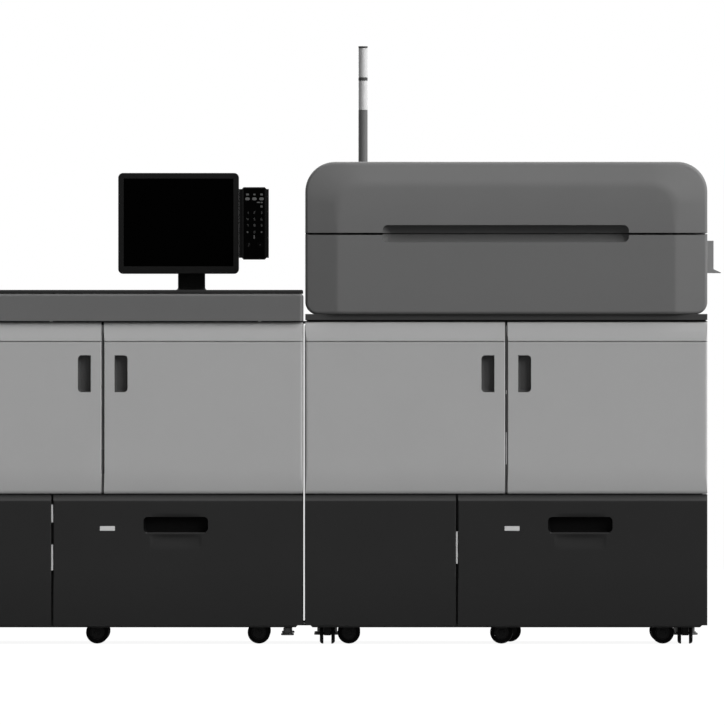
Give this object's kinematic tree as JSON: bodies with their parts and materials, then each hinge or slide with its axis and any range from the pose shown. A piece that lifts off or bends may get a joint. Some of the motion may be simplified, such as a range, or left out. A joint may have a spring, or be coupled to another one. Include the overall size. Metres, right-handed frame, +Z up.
{
  "type": "digital production printer",
  "caption": "Two-module digital printing press with hinged doors, paper drawers, a raised hood with lid, a touch monitor and keypad on a stand, a beacon and casters.",
  "frame": {"origin": "centre of the outside box, on the floor", "axes": "+X to the operator's right as they face the doors, +Y from the doors to the rear covers, +Z up"},
  "size_m": [2.7, 1.2, 1.98],
  "materials": {
    "frame_steel": "satin black-grey paint",
    "cover_grey": "fine-textured light grey, moulded",
    "door_grey": "fine-textured light grey, moulded",
    "base_black": "fine-textured charcoal, moulded",
    "counter_grey": "satin mid grey",
    "hood_grey": "satin mid grey, moulded",
    "pole_grey": "glossy grey",
    "lens_white": "frosted white",
    "cap_black": "satin dark grey",
    "bracket_grey": "satin grey",
    "inlet_black": "moulded black",
    "zinc_steel": "zinc plated",
    "case_grey": "moulded case, light grey",
    "tray_steel": "smooth grey paint",
    "unit_grey": "moulded dark grey",
    "belt_black": "smooth dark film",
    "toner_grey": "moulded dark grey",
    "caster_black": "moulded black",
    "tyre_black": "smooth dark tread",
    "stand_black": "fine-textured black",
    "monitor_black": "smooth black",
    "screen_black": "dark screen, switched off",
    "membrane_black": "matte film",
    "key_black": "glossy black with a small mark",
    "roller_black": "coated rubber",
    "roller_red": "silicone rubber",
    "drum_green": "glossy coated",
    "foot_black": "satin"
  },
  "bodies": {
    "press": {"left_frame": "frame_steel", "right_frame": "frame_steel", "left_rear_cover": "cover_grey", "right_rear_cover": "cover_grey", "left_end_cover": "cover_grey", "right_end_cover": "cover_grey", "lower_covers": "base_black", "counter_top": "counter_grey", "hood_body": "hood_grey", "beacon_pole": "pole_grey", "beacon_lenses": "lens_white", "beacon_cap": "cap_black", "side_bracket": "bracket_grey", "mains_inlet": "inlet_black", "electronics_boxes": "case_grey", "fuser_frame": "zinc_steel", "developer_units": "unit_grey", "transfer_unit": "belt_black", "toner_bottles": "toner_grey", "drawer_runners": "zinc_steel", "door_hinges": "zinc_steel", "caster_housings": "caster_black", "monitor_stand": "stand_black"},
    "left_module_left_door": {"left_module_left_door": "door_grey"},
    "left_module_right_door": {"left_module_right_door": "door_grey"},
    "right_module_left_door": {"right_module_left_door": "door_grey"},
    "right_module_right_door": {"right_module_right_door": "door_grey"},
    "left_drawer": {"left_drawer_front": "base_black", "left_drawer_tray": "tray_steel"},
    "left_lift_plate": {"left_lift_plate": "zinc_steel"},
    "right_drawer": {"right_drawer_front": "base_black", "right_drawer_tray": "tray_steel"},
    "right_lift_plate": {"right_lift_plate": "zinc_steel"},
    "hood_lid": {"hood_lid": "hood_grey"},
    "monitor_yoke": {"monitor_yoke": "stand_black"},
    "monitor_head": {"monitor_housing": "monitor_black", "monitor_screen": "screen_black", "keypad_housing": "monitor_black", "keypad_membrane": "membrane_black"},
    "start_key": {"start_key": "key_black"},
    "stop_key": {"stop_key": "key_black"},
    "hot_roller": {"hot_roller": "roller_black"},
    "pressure_roller": {"pressure_roller": "roller_red"},
    "black_drum": {"black_drum": "drum_green"},
    "cyan_drum": {"cyan_drum": "drum_green"},
    "magenta_drum": {"magenta_drum": "drum_green"},
    "yellow_drum": {"yellow_drum": "drum_green"},
    "left_outer_wheels": {"left_outer_wheels": "tyre_black"},
    "left_middle_wheels": {"left_middle_wheels": "tyre_black"},
    "left_inner_wheels": {"left_inner_wheels": "tyre_black"},
    "right_inner_wheels": {"right_inner_wheels": "tyre_black"},
    "right_middle_front_wheels": {"right_middle_front_wheels": "tyre_black"},
    "right_middle_rear_wheels": {"right_middle_rear_wheels": "tyre_black"},
    "right_outer_wheels": {"right_outer_wheels": "tyre_black"},
    "left_stabiliser_fork": {"left_stabiliser_fork": "caster_black"},
    "right_stabiliser_fork": {"right_stabiliser_fork": "caster_black"},
    "left_stabiliser_wheels": {"left_stabiliser_wheels": "tyre_black"},
    "right_stabiliser_wheels": {"right_stabiliser_wheels": "tyre_black"},
    "left_levelling_feet": {"left_levelling_feet": "foot_black"},
    "right_levelling_feet": {"right_levelling_feet": "foot_black"}
  },
  "joints": [
    {"name": "left_module_left_door_hinge", "type": "hinge", "parent": "press", "child": "left_module_left_door", "pos_m": [-1.338, -0.574, 0.496], "axis": [0, 0, -1], "range_deg": [0, 110]},
    {"name": "left_module_right_door_hinge", "type": "hinge", "parent": "press", "child": "left_module_right_door", "pos_m": [-0.042, -0.574, 0.496], "axis": [0, 0, 1], "range_deg": [0, 90]},
    {"name": "right_module_left_door_hinge", "type": "hinge", "parent": "press", "child": "right_module_left_door", "pos_m": [-0.0105, -0.574, 0.496], "axis": [0, 0, -1], "range_deg": [0, 90]},
    {"name": "right_module_right_door_hinge", "type": "hinge", "parent": "press", "child": "right_module_right_door", "pos_m": [1.2915, -0.574, 0.496], "axis": [0, 0, 1], "range_deg": [0, 110]},
    {"name": "left_drawer_slide", "type": "slide", "parent": "press", "child": "left_drawer", "axis": [0, -1, 0], "range_m": [0, 0.6]},
    {"name": "left_lift_plate_rise", "type": "slide", "parent": "left_drawer", "child": "left_lift_plate", "axis": [0, 0, 1], "range_m": [0, 0.2]},
    {"name": "right_drawer_slide", "type": "slide", "parent": "press", "child": "right_drawer", "axis": [0, -1, 0], "range_m": [0, 0.6]},
    {"name": "right_lift_plate_rise", "type": "slide", "parent": "right_drawer", "child": "right_lift_plate", "axis": [0, 0, 1], "range_m": [0, 0.2]},
    {"name": "hood_lid_hinge", "type": "hinge", "parent": "press", "child": "hood_lid", "pos_m": [0, 0.258, 1.582], "axis": [-1, 0, 0], "range_deg": [0, 65]},
    {"name": "monitor_swivel", "type": "hinge", "parent": "press", "child": "monitor_yoke", "pos_m": [-0.3985, -0.29, 1.2999], "axis": [0, 0, 1], "range_deg": [-45, 45]},
    {"name": "monitor_tilt", "type": "hinge", "parent": "monitor_yoke", "child": "monitor_head", "pos_m": [-0.3985, -0.335, 1.38735], "axis": [-1, 0, 0], "range_deg": [-5, 30]},
    {"name": "start_key_press", "type": "slide", "parent": "monitor_head", "child": "start_key", "axis": [0, 1, 0], "range_m": [0, 0.0012], "stiffness_N_per_m": 800},
    {"name": "stop_key_press", "type": "slide", "parent": "monitor_head", "child": "stop_key", "axis": [0, 1, 0], "range_m": [0, 0.0012], "stiffness_N_per_m": 800},
    {"name": "left_middle_wheels_roll", "type": "hinge", "parent": "press", "child": "left_middle_wheels", "pos_m": [-0.709, 0, 0.0375], "axis": [0, 1, 0], "continuous": true},
    {"name": "right_inner_wheels_roll", "type": "hinge", "parent": "press", "child": "right_inner_wheels", "pos_m": [0.1215, 0, 0.0375], "axis": [0, 1, 0], "continuous": true},
    {"name": "left_outer_wheels_roll", "type": "hinge", "parent": "press", "child": "left_outer_wheels", "pos_m": [-1.2025, 0, 0.0375], "axis": [0, 1, 0], "continuous": true},
    {"name": "left_inner_wheels_roll", "type": "hinge", "parent": "press", "child": "left_inner_wheels", "pos_m": [-0.1755, 0, 0.0375], "axis": [0, 1, 0], "continuous": true},
    {"name": "right_middle_front_wheels_roll", "type": "hinge", "parent": "press", "child": "right_middle_front_wheels", "pos_m": [0.625, -0.4, 0.0375], "axis": [0, 1, 0], "continuous": true},
    {"name": "right_middle_rear_wheels_roll", "type": "hinge", "parent": "press", "child": "right_middle_rear_wheels", "pos_m": [0.656, 0.4, 0.0375], "axis": [0, 1, 0], "continuous": true},
    {"name": "right_outer_wheels_roll", "type": "hinge", "parent": "press", "child": "right_outer_wheels", "pos_m": [1.1575, 0, 0.0375], "axis": [0, 1, 0], "continuous": true},
    {"name": "left_stabiliser_swivel", "type": "hinge", "parent": "press", "child": "left_stabiliser_fork", "pos_m": [0.0505, -0.488, 0.0545], "axis": [0, 0, 1], "continuous": true},
    {"name": "left_stabiliser_roll", "type": "hinge", "parent": "left_stabiliser_fork", "child": "left_stabiliser_wheels", "pos_m": [0.0505, -0.484, 0.0355], "axis": [1, 0, 0], "continuous": true},
    {"name": "right_stabiliser_swivel", "type": "hinge", "parent": "press", "child": "right_stabiliser_fork", "pos_m": [1.2305, -0.488, 0.0545], "axis": [0, 0, 1], "continuous": true},
    {"name": "right_stabiliser_roll", "type": "hinge", "parent": "right_stabiliser_fork", "child": "right_stabiliser_wheels", "pos_m": [1.2305, -0.484, 0.0355], "axis": [1, 0, 0], "continuous": true},
    {"name": "left_levelling_feet_turn_down", "type": "slide", "parent": "press", "child": "left_levelling_feet", "axis": [0, 0, -1], "range_m": [0, 0.027]},
    {"name": "right_levelling_feet_turn_down", "type": "slide", "parent": "press", "child": "right_levelling_feet", "axis": [0, 0, -1], "range_m": [0, 0.027]},
    {"name": "hot_roller_spin", "type": "hinge", "parent": "press", "child": "hot_roller", "pos_m": [-0.77, 0, 0.8453], "axis": [0, 1, 0], "continuous": true},
    {"name": "pressure_roller_spin", "type": "hinge", "parent": "press", "child": "pressure_roller", "pos_m": [-0.77, 0, 0.7447], "axis": [0, 1, 0], "continuous": true},
    {"name": "black_drum_spin", "type": "hinge", "parent": "press", "child": "black_drum", "pos_m": [0.2805, 0, 0.8325], "axis": [0, 1, 0], "continuous": true},
    {"name": "cyan_drum_spin", "type": "hinge", "parent": "press", "child": "cyan_drum", "pos_m": [0.5205, 0, 0.8325], "axis": [0, 1, 0], "continuous": true},
    {"name": "magenta_drum_spin", "type": "hinge", "parent": "press", "child": "magenta_drum", "pos_m": [0.7605, 0, 0.8325], "axis": [0, 1, 0], "continuous": true},
    {"name": "yellow_drum_spin", "type": "hinge", "parent": "press", "child": "yellow_drum", "pos_m": [1.0005, 0, 0.8325], "axis": [0, 1, 0], "continuous": true}
  ],
  "couplings": [
    {"joint": "pressure_roller_spin", "follows": "hot_roller_spin", "ratio": -1},
    {"joint": "cyan_drum_spin", "follows": "black_drum_spin", "ratio": 1},
    {"joint": "magenta_drum_spin", "follows": "black_drum_spin", "ratio": 1},
    {"joint": "yellow_drum_spin", "follows": "black_drum_spin", "ratio": 1},
    {"joint": "left_outer_wheels_roll", "follows": "left_middle_wheels_roll", "ratio": 1},
    {"joint": "left_inner_wheels_roll", "follows": "left_middle_wheels_roll", "ratio": 1},
    {"joint": "right_middle_front_wheels_roll", "follows": "right_inner_wheels_roll", "ratio": 1},
    {"joint": "right_middle_rear_wheels_roll", "follows": "right_inner_wheels_roll", "ratio": 1},
    {"joint": "right_outer_wheels_roll", "follows": "right_inner_wheels_roll", "ratio": 1}
  ]
}
